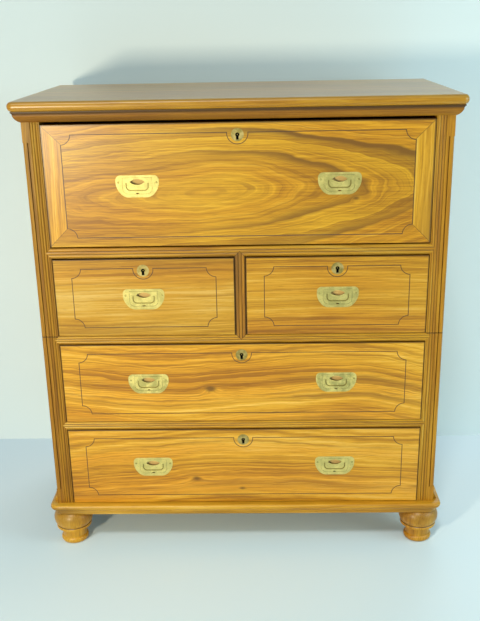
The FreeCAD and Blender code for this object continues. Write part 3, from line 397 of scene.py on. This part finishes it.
def camphorwood(name, look):
    look = {**woodLook, **look}
    paint = Paint(bpy.data.materials.new(name))
    board = Board(paint, look)
    colour = board.wearAndShade(board.markings(board.figure()))
    rough = woodGloss["rough"] - look["polish"] + board.fibre * woodGloss["fibre"]
    rough = rough + board.poreShade * woodGloss["pore"]
    bump = paint.bump(woodGloss["bump"], woodGloss["bumpDepth"],
                      board.fibre * woodGloss["fibreBump"] - board.poreShade)
    return paint.finish(Base_Color=colour, Roughness=rough, Normal=bump, Coat_Weight=look["coat"],
                        Specular_IOR_Level=woodGloss["specular"], Coat_Roughness=woodGloss["coatRough"])


# Drawer linings, matt and paler, grain by the board

liningTones = {"pale": (0.62, 0.42, 0.15), "middle": (0.46, 0.285, 0.085), "dark": (0.29, 0.16, 0.045)}
liningRamp = ((0.35, "dark"), (0.50, "middle"), (0.68, "pale"))
liningLook = {"rings": 55, "slant": 0.6, "bendScale": 1.4, "bend": 0.05, "fibre": (6, 240), "cloud": (2, 6),
              "ringShare": 0.45, "fibreShare": 0.3, "cloudShare": 0.25, "rough": 0.52, "fibreRough": 0.2,
              "bump": 0.3, "bumpDepth": 0.0004}


def liningWood(name, grain, seed):
    look = liningLook
    paint = Paint(bpy.data.materials.new(name))
    axes = paint.axes()
    along, across, depth = [axes["xyz".index(letter)] for letter in grain]
    wander = paint.line(along * look["bendScale"] + seed, 1) * look["bend"]
    rings = paint.line((across + depth * look["slant"] + wander) * look["rings"] + seed, 3)
    lengthways, crossways = look["fibre"]
    spot = paint.vector(along * lengthways + seed, across * crossways, depth * crossways)
    fibre = paint.noise(spot, 1, 3, 0.6)
    lengthways, crossways = look["cloud"]
    spot = paint.vector(along * lengthways, across * crossways, depth * crossways + seed)
    cloud = paint.noise(spot, 1, 2)
    tone = rings * look["ringShare"] + fibre * look["fibreShare"] + cloud * look["cloudShare"]
    colour = paint.ramp(tone, liningRamp, liningTones)
    return paint.finish(Base_Color=colour, Roughness=look["rough"] + fibre * look["fibreRough"],
                        Normal=paint.bump(look["bump"], look["bumpDepth"], fibre))


# Brass, polished once and dulled since; warm inside the cups with a painted reflection of the wood, and
# painted shade in the keyholes

brassTones = {"polished": (0.80, 0.66, 0.23), "bright": (0.66, 0.55, 0.19), "dull": (0.50, 0.42, 0.14),
              "aged": (0.50, 0.39, 0.15), "tarnish": (0.28, 0.22, 0.06), "cup": (0.92, 0.65, 0.25),
              "hole": (0.006, 0.005, 0.004)}
brassLook = {
    "patches": 55, "patchEdge": (0.35, 0.65), "patchRough": 0.12,
    "specks": 420, "speckEdge": (0.60, 0.74), "speckShare": 0.5, "speckRough": 0.08,
    "scratches": (260, 1, 2600),
    "sunk": (-0.0005, 0.0006), "sunkShare": 0.8,    # just behind the plates' face
    "cup": (0.003, 0.005), "cupFloor": (0.0108, 0.0115), "cupRough": 0.4, "cupDull": 0.7,
    "bump": 0.12, "bumpDepth": 0.0002, "speckBump": 0.5,
}
# the lower handles' brass is painted brighter than the rest: partly patina, partly painted light
handlePatinaAndLight = {"fall": ("bright", "dull"), "short": ("bright", "dull"), "upper": ("polished", "dull"),
               "lower": ("polished", "bright")}


def brass(name, inside="cup", seed=0, clean="bright", wearAndPaintedLight="dull", rough=0.43):
    look = brassLook
    paint = Paint(bpy.data.materials.new(name))
    spot = paint.place()
    depth = paint.axes()[1] - frontY
    patches = paint.noise(spot, look["patches"] + seed, 3, 0.6)
    specks = paint.noise(spot, look["specks"], 2)
    scratches = paint.noise(paint.node("Mapping", {}, {0: spot, "Scale": look["scratches"]}), 1, 2)
    colour = paint.blend(paint.stretch(patches, *look["patchEdge"]), brassTones[wearAndPaintedLight], brassTones[clean])
    spotted = paint.stretch(specks, *look["speckEdge"]) * look["speckShare"]
    colour = paint.blend(spotted, colour, brassTones["tarnish"])
    sunk = paint.stretch(depth, *look["sunk"]) * look["sunkShare"]
    colour = paint.blend(sunk, colour, brassTones["tarnish"])
    # inside the cups: the cup's warm colour and a painted reflection of the wood, less metallic; in the
    # keyholes painted shade
    inHole = paint.stretch(depth, *look["cup"]) * paint.stretch(depth, *look["cupFloor"], 1, 0)
    colour = paint.blend(inHole, colour, brassTones[inside])
    rough = rough + patches * look["patchRough"] + specks * look["speckRough"] + inHole * look["cupRough"]
    bump = paint.bump(look["bump"], look["bumpDepth"], scratches + specks * look["speckBump"])
    return paint.finish(Base_Color=colour, Roughness=rough, Normal=bump,
                        Metallic=1 - inHole * look["cupDull"])


def dress(names, material):
    for name in names:
        obj = nodes[name]
        obj.data.materials.clear()
        obj.data.materials.append(material)


# The woods of the chest, one look for each piece

fronts = {"lockDrop": 0.0275, "shortLock": 0.2245, "clampWidth": 0.042, "rim": 0.0028, "fallRim": 0.0045,
          "rimSink": 0.02,                   # no wear and no painted shade along the lower edges
          "gapShadeTint": (0.45, 0.40, 0.35)}    # painted shade on the top edges, for the dark gap above each front
reeds = {"groove": 0.0017, "rim": 0.0026}
fallLow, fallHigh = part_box("fall_panel")


def keyholeOf(lock, across=0):
    return across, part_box(lock)[1].z - fronts["lockDrop"]


def rimOf(front, width=fronts["rim"]):
    low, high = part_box(front)
    return low.x, high.x, low.z - fronts["rimSink"], high.z, width, False


def outlineOf(post):
    low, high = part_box(post)
    return low.x, high.x, low.z, high.z, reeds["rim"], True


fallWood = {"heart": (-0.060, 0.912), "heartDepth": 0.004, "spread": 0.205, "skew": 0.057, "tilt": 0.047,
            "bend": 0.03, "bendScale": 2.3, "rings": 95, "streaks": 9, "streakShare": 0.15, "wave": 0.044,
            "curl": 0.010, "contrast": 0.9, "lines": 0.65, "bands": 0.3, "clouds": 0.34, "eye": 0.08,
            "seed": 3, "knots": ((0.263, 0.894, 0.008),),
            "darkRings": ((0.088, 0.015, 0.95), (0.136, 0.018, 1.2)),
            "keyhole": keyholeOf("fall_lock"), "rim": rimOf("fall_clamps", fronts["fallRim"]),
            "dust": fronts["gapShadeTint"], "tint": (1.05, 1.05, 0.82), "coat": 0.3}
clampWood = {"grain": "zxy", "heart": (0.9, 0.2), "seed": 5, "bend": 0.04, "streakShare": 0.4,
             "joint": (fallLow.z, fallHigh.z, fallHigh.x, fronts["clampWidth"]),
             "rim": rimOf("fall_clamps", fronts["fallRim"]), "tint": (1.04, 1.05, 1.1), "coat": 0.3}
upperWood = {"heart": (0.1, 0.70), "heartDepth": 0.10, "dips": ((-0.08, 0.10), (0.31, -0.20)),
             "tilt": -0.18, "bend": 0.03, "bendScale": 2.6, "bands": 0.34, "wave": 0.034, "curl": 0.010,
             "rings": 75, "streaks": 14, "streakShare": 0.5, "contrast": 1.1, "lines": 0.85, "seed": 11,
             "knots": ((-0.077, 0.433, 0.014),), "keyhole": keyholeOf("upper_drawer_lock"),
             "rim": rimOf("upper_drawer_front"), "dust": fronts["gapShadeTint"], "tint": (1.10, 1.07, 1.2)}
lowerWood = {"heart": (-0.1, 0.60), "heartDepth": 0.10, "dips": ((0.02, -0.09),), "bend": 0.03,
             "bendScale": 2.4, "bands": 0.34, "wave": 0.034, "curl": 0.010, "rings": 75, "streaks": 14,
             "streakShare": 0.45, "contrast": 0.98, "lines": 0.75, "seed": 17,
             "knots": ((-0.119, 0.189, 0.012), (-0.004, 0.1595, 0.008)),
             "keyhole": keyholeOf("lower_drawer_lock"), "rim": rimOf("lower_drawer_front"),
             "dust": fronts["gapShadeTint"], "tint": (1.07, 1.03, 1.2)}
shortWood = {"heart": (0, 0.97), "heartDepth": 0.15, "bend": 0.035, "wave": 0.014, "curl": 0.005, "rings": 90,
             "streaks": 10, "streakShare": 0.4, "contrast": 0.85, "lines": 0.5}
shortLeftWood = {**shortWood, "seed": 23, "dust": fronts["gapShadeTint"], "tint": (0.88, 0.885, 1.3),
                 "keyhole": keyholeOf("short_left_drawer_lock", -fronts["shortLock"]),
                 "rim": rimOf("short_left_drawer_front")}
shortRightWood = {**shortWood, "seed": 29, "tint": (0.94, 0.91, 1.1),
                  "keyhole": keyholeOf("short_right_drawer_lock", fronts["shortLock"]),
                  "rim": rimOf("short_right_drawer_front")}
stileWood = {"grain": "zxy", "heart": (0.5, 0.1), "seed": 31, "groove": reeds["groove"], "streakShare": 0.5,
             "coat": 0.03, "polish": -0.14, "crack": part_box("lower_stile_left")[1].z}
# the left stile is painted darker than the right: painted shade against the key lamp's light on the left
stileShadeTints = {"left": (0.60, 0.56, 0.44), "right": (0.75, 0.71, 0.62)}
railWood = {"heart": (0, 0.1), "seed": 37, "groove": reeds["groove"], "streakShare": 0.5,
            "tint": (0.88, 0.86, 0.8)}
muntinWood = {"grain": "zxy", "heart": (0.6, 0.15), "seed": 41, "groove": reeds["groove"],
              "tint": (0.88, 0.86, 0.8), "rim": outlineOf("drawer_muntin")}
sideWood = {"grain": "zyx", "heart": (0.5, -0.05), "heartDepth": 0.25, "seed": 43, "contrast": 0.7,
            "streakShare": 0.4, "tint": (1.12, 0.97, 0.9)}
topWood = {"grain": "xyz", "heart": (0.1, 0.1), "heartDepth": 0.95, "seed": 47, "streakShare": 0.2,
           "contrast": 0.5, "polish": 0.1, "tint": (0.77, 0.73, 0.55), "dust": (1.0, 1.02, 0.9), "coat": 0.38}
# the mould's dark tint and its shade towards the top are painted shade under the top's nose
mouldWood = {"heart": (0, 0.4), "heartDepth": 0.2, "seed": 53, "contrast": 0.6, "tint": (0.56, 0.46, 0.34),
             "shade": (1.0860, 1.0930, 0.9), "coat": 0.05, "polish": -0.12, "turns": True}
plinthWood = {"heart": (0, 0.4), "heartDepth": 0.2, "seed": 57, "contrast": 0.6, "tint": (0.98, 1.0, 1.3),
              "turns": True}
footWood = {"grain": "zxy", "heart": (0.05, 0.3), "heartDepth": 0.1, "seed": 59, "streakShare": 0.1,
            "contrast": 0.5, "lines": 0.1, "tint": (0.92, 0.88, 0.85),
            "shade": (0.052, 0.078, 0.38), "crack": 0.050}    # painted shade over the bulb under the plinth, and a thin dark line in the groove
writingWood = {"grain": "xyz", "heart": (0, 0.05), "heartDepth": 0.7, "seed": 61}
nestWood = {"heart": (0, 0.6), "seed": 67, "streakShare": 0.3}

dress(["fall_panel"], camphorwood("fallField", fallWood))
dress(["fall_clamps"], camphorwood("fallClamp", clampWood))
dress(["upper_drawer_front"], camphorwood("upperFront", upperWood))
dress(["lower_drawer_front"], camphorwood("lowerFront", lowerWood))
dress(["short_left_drawer_front"], camphorwood("shortLeftFront", shortLeftWood))
dress(["short_right_drawer_front"], camphorwood("shortRightFront", shortRightWood))
for side, tint in stileShadeTints.items():
    dress([name for name in nodes if name.endswith("stile_" + side)],
          camphorwood(side + "StileWood", {**stileWood, "tint": tint}))
dress([name for name in nodes if name.endswith("rail")], camphorwood("railWood", railWood))
dress(["drawer_muntin"], camphorwood("muntinWood", muntinWood))
dress(["lower_sides", "upper_sides"], camphorwood("sideWood", sideWood))
dress(["top_board"], camphorwood("topWood", topWood))
dress(["top_mould", "upper_case_top"], camphorwood("mouldWood", mouldWood))
dress(["base_plinth", "base_side_moulds"], camphorwood("plinthWood", plinthWood))
dress(["turned_feet"], camphorwood("footWood", footWood))
dress(["writing_board"], camphorwood("writingWood", writingWood))
dress(["pigeonhole_case"] + [name for name in nodes if name.startswith("small_drawer")],
      camphorwood("nestWood", nestWood))
dress(["lower_back", "upper_back"], liningWood("backWood", "zxy", 3))
dress(["lower_dust_board", "lower_top_board", "upper_bottom_board", "secretaire_dust_board"],
      liningWood("dustWood", "xyz", 5))
dress(["drawer_partition"], liningWood("partitionWood", "yzx", 7))
dress([name for name in nodes if name.endswith("carcass")], liningWood("liningWood", "yzx", 9))
for start, (clean, wearAndPaintedLight) in handlePatinaAndLight.items():
    dress([name for name in nodes if name.startswith(start) and ("bail" in name or "plates" in name)],
          brass(start + "Brass", clean=clean, wearAndPaintedLight=wearAndPaintedLight))
dress([name for name in nodes if name.endswith("lock")],
      brass("lockBrass", "hole", 3, "aged", "tarnish", 0.52))
dress(["fall_hinge_arms", "fall_stays"], brass("hingeBrass", "dull", 7))
print("nodes dressed")


# Stringing let into the fronts: a dark line with hollowed corners that dips round the escutcheon

stringing = {"line": 0.0017, "proud": 0.00015, "thick": 0.0006, "side": 0.0415, "top": 0.0215,
             "bottom": 0.0205, "corner": 0.022, "dip": 0.0225, "dipDrop": 0.003, "cutSides": 72,
             "cutDepth": 0.02, "colour": (0.085, 0.038, 0.010), "rough": 0.45}


def plainPaint(name, colour, roughness):
    return Paint(bpy.data.materials.new(name)).finish(Base_Color=(*colour, 1), Roughness=roughness)


stringingWood = plainPaint("stringingWood", stringing["colour"], stringing["rough"])


def applyAll(obj):
    bpy.context.view_layer.objects.active = obj
    for modifier in list(obj.modifiers):
        bpy.ops.object.modifier_apply(modifier=modifier.name)


def cutAway(obj, cutter):
    cut = obj.modifiers.new("cut", "BOOLEAN")
    cut.operation = "DIFFERENCE"
    cut.object = cutter
    applyAll(obj)
    bpy.data.objects.remove(cutter)


def chooseFaces(obj, chosen):
    bpy.ops.object.mode_set(mode="EDIT")
    bpy.ops.mesh.select_mode(type="FACE")
    bpy.ops.mesh.select_all(action="DESELECT")
    bpy.ops.object.mode_set(mode="OBJECT")
    for face in obj.data.polygons:
        face.select = chosen(face)
    bpy.ops.object.mode_set(mode="EDIT")


def makeStringing(label, front, body, lockX):
    low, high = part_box(front)
    left, right = low.x + stringing["side"], high.x - stringing["side"]
    bottom, top = low.z + stringing["bottom"], high.z - stringing["top"]
    bpy.ops.object.select_all(action="DESELECT")
    bpy.ops.mesh.primitive_cube_add(size=1, location=((left + right) / 2, frontY, (bottom + top) / 2))
    band = bpy.context.object
    band.name = label
    band.scale = (right - left, stringing["proud"] * 2, top - bottom)
    bpy.ops.object.transform_apply(location=True, rotation=True, scale=True)
    hollows = [(x, z, stringing["corner"]) for x in (left, right) for z in (bottom, top)]
    hollows.append((lockX, top - stringing["dipDrop"], stringing["dip"]))
    for x, z, radius in hollows:
        bpy.ops.object.select_all(action="DESELECT")
        bpy.ops.mesh.primitive_cylinder_add(vertices=stringing["cutSides"], radius=radius,
                                            depth=stringing["cutDepth"], location=(x, frontY, z),
                                            rotation=(math.pi / 2, 0, 0))
        cutAway(band, bpy.context.object)
    band.select_set(True)
    chooseFaces(band, lambda face: face.normal.y > -0.9)  # all but the front
    bpy.ops.mesh.delete(type="FACE")
    bpy.ops.mesh.select_all(action="SELECT")
    bpy.ops.mesh.inset(thickness=stringing["line"], use_boundary=True)
    bpy.ops.mesh.delete(type="FACE")
    bpy.ops.object.mode_set(mode="OBJECT")
    wall = band.modifiers.new("wall", "SOLIDIFY")
    wall.thickness = stringing["thick"]
    wall.offset = -1
    applyAll(band)
    band.data.materials.append(stringingWood)
    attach(band, body)


makeStringing("fallStringing", "fall_panel", "fall", 0)
makeStringing("shortLeftStringing", "short_left_drawer_front", "short_left_drawer", -fronts["shortLock"])
makeStringing("shortRightStringing", "short_right_drawer_front", "short_right_drawer", fronts["shortLock"])
makeStringing("upperStringing", "upper_drawer_front", "upper_drawer", 0)
makeStringing("lowerStringing", "lower_drawer_front", "lower_drawer", 0)
print("stringing laid")


# Slotted screws in the handle plates, their slots turned this way and that

screw = {"radius": 0.0024, "thick": 0.0010, "proud": 0.0003, "slot": 0.0006, "slotDeep": 0.0004,
         "rim": 0.00025, "rimSteps": 2, "sides": 24, "smooth": 35, "offset": 0.0426, "belowBail": 0.0096,
         "turn": 1.4, "turnBy": (71, 37)}
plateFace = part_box("lower_drawer_handle_plates")[0].y
screwBrass = brass("screwBrass", "dull", 5, "dull", "tarnish", 0.45)


def makeScrew():
    face = plateFace - screw["proud"]
    bpy.ops.object.select_all(action="DESELECT")
    bpy.ops.mesh.primitive_cylinder_add(vertices=screw["sides"], radius=screw["radius"], depth=screw["thick"],
                                        location=(0, face + screw["thick"] / 2, 0),
                                        rotation=(math.pi / 2, 0, 0))
    head = bpy.context.object
    bpy.ops.object.transform_apply(location=True, rotation=True, scale=True)
    rim = head.modifiers.new("rim", "BEVEL")
    rim.width = screw["rim"]
    rim.segments = screw["rimSteps"]
    rim.limit_method = "ANGLE"
    applyAll(head)
    bpy.ops.object.select_all(action="DESELECT")
    bpy.ops.mesh.primitive_cube_add(size=1, location=(0, face, 0))
    slot = bpy.context.object
    slot.scale = (screw["radius"] * 3, screw["slotDeep"] * 2, screw["slot"])
    cutAway(head, slot)
    return head


def setScrews(label, body, bails):
    copies = []
    turnX, turnZ = screw["turnBy"]
    for bail in bails:
        low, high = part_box(bail)
        middle = (low.x + high.x) / 2
        for side in (-1, 1):
            head = model.copy()
            head.data = model.data.copy()
            bpy.context.collection.objects.link(head)
            place = Vector((middle + side * screw["offset"], 0, high.z - screw["belowBail"]))
            head.rotation_euler.y = math.sin(place.x * turnX + place.z * turnZ) * screw["turn"]
            head.location = place
            copies.append(head)
    bpy.ops.object.select_all(action="DESELECT")
    for head in copies:
        head.select_set(True)
    bpy.context.view_layer.objects.active = copies[0]
    bpy.ops.object.transform_apply(location=True, rotation=True, scale=True)
    bpy.ops.object.join()
    copies[0].name = label
    bpy.ops.object.shade_smooth_by_angle(angle=math.radians(screw["smooth"]))
    copies[0].data.materials.append(screwBrass)
    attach(copies[0], body)


model = makeScrew()
for body in ("fall", "short_left_drawer", "short_right_drawer", "upper_drawer", "lower_drawer"):
    setScrews(body.replace("_", " ").title().replace(" ", "") + "Screws", body,
              [name for name in nodes if name.startswith(body + "_bail")])
bpy.data.objects.remove(model)
print("screws set")


# Studio: a pale floor, and a pale wall that is solid from its front only

studio = {"floorColour": (0.735, 0.82, 0.83), "wallColour": (0.80, 0.86, 0.83), "shade": (0.55, 0.68, 0.71),
          "shadeShare": 0.15, "shadeScale": 0.6, "rough": 0.85, "half": 9.0, "wall": 0.36,
          "glowColour": (0.0, 0.6, 1.0), "glow": 0.06}


def studioPaint(name, plain):
    paint = Paint(bpy.data.materials.new(name))
    cloud = paint.noise(paint.place(), studio["shadeScale"], 1)
    colour = paint.blend(cloud * studio["shadeShare"], plain, studio["shade"])
    glow = paint.blend(paint.backgroundRays(), (0, 0, 0), studio["glowColour"])
    paper = paint.finish(Base_Color=colour, Roughness=studio["rough"], Emission_Color=glow,
                         Emission_Strength=studio["glow"])
    sides = {0: paint.node("NewGeometry", {}, {}, "Backfacing"),
             1: Link(paint, paint.tree.nodes["Principled BSDF"].outputs[0]),
             2: paint.node("BsdfTransparent", {}, {})}
    paint.feed(paint.tree.nodes["Material Output"].inputs[0], paint.node("MixShader", {}, sides))
    return paper


def makeSheet(name, place, turn, paper):
    bpy.ops.object.select_all(action="DESELECT")
    bpy.ops.mesh.primitive_plane_add(size=studio["half"] * 2, location=place, rotation=turn)
    sheet = bpy.context.object
    sheet.name = name
    bpy.ops.object.transform_apply(location=True, rotation=True, scale=True)
    sheet.data.materials.append(paper)
    return sheet


makeSheet("studioFloor", (0, 0, 0), (0, 0, 0), studioPaint("floorPaper", studio["floorColour"]))
wall = makeSheet("studioWall", (0, studio["wall"], studio["half"]), (math.pi / 2, 0, 0),
                 studioPaint("wallPaper", studio["wallColour"]))
wall.visible_shadow = False
wall.visible_diffuse = False

lamps = {
    "keyLamp": {"place": (-0.97, -2.0, 0.92), "aim": (0, 0, 0.7), "size": 0.18, "watts": 26.5,
                "colour": (1, 0.91, 0.70)},
    "fillLamp": {"place": (2.0, -0.9, 1.2), "aim": (0.6, 0.2, 0.3), "size": 1.2, "watts": 20,
                 "colour": (0.72, 0.94, 1)},
    "backLamp": {"place": (0.8, 2.6, 1.8), "aim": (0, 0.3, 0.6), "size": 1.8, "watts": 34,
                 "colour": (0.92, 0.98, 1)},
}
skylight = {"place": (-0.5, -1.9, 3.0), "aim": (0, 0, 0), "strength": 1.0, "angle": 9,
            "colour": (0.89, 0.97, 1)}


def addLamp(name, kind, lamp):
    bpy.ops.object.select_all(action="DESELECT")
    bpy.ops.object.light_add(type=kind, location=lamp["place"])
    light = bpy.context.object
    light.name = name
    light.data.color = lamp["colour"]
    towards = Vector(lamp["aim"]) - Vector(lamp["place"])
    light.rotation_euler = towards.to_track_quat("-Z", "Y").to_euler()
    return light.data


for name, lamp in lamps.items():
    light = addLamp(name, "AREA", lamp)
    light.size = lamp["size"]
    light.energy = lamp["watts"]
sky = addLamp("skylight", "SUN", skylight)
sky.energy = skylight["strength"]
sky.angle = math.radians(skylight["angle"])

room = {"light": (0.155, 0.21, 0.235), "seen": (0.60, 0.72, 0.72)}
air = Paint(bpy.data.worlds.new("softRoom"))
air.feed(air.tree.nodes["Background"].inputs[0],
         air.blend(air.backgroundRays(), room["light"], room["seen"]))
bpy.context.scene.world = air.owner

# Camera, from the lines of the case in the picture of 480 by 621
cameraFit = {"place": (0.0477, -2.1393, 1.2763), "turn": (71.324, 1.075, 1.121), "lens": 49.83, "sensor": 36}
bpy.ops.object.camera_add(location=cameraFit["place"],
                          rotation=[math.radians(turn) for turn in cameraFit["turn"]])
camera = bpy.context.object
camera.data.sensor_fit = "VERTICAL"
camera.data.sensor_height = cameraFit["sensor"]
camera.data.lens = cameraFit["lens"]
bpy.context.scene.camera = camera
bpy.context.scene.view_settings.view_transform = "Standard"
print("studio, lamps and camera set")
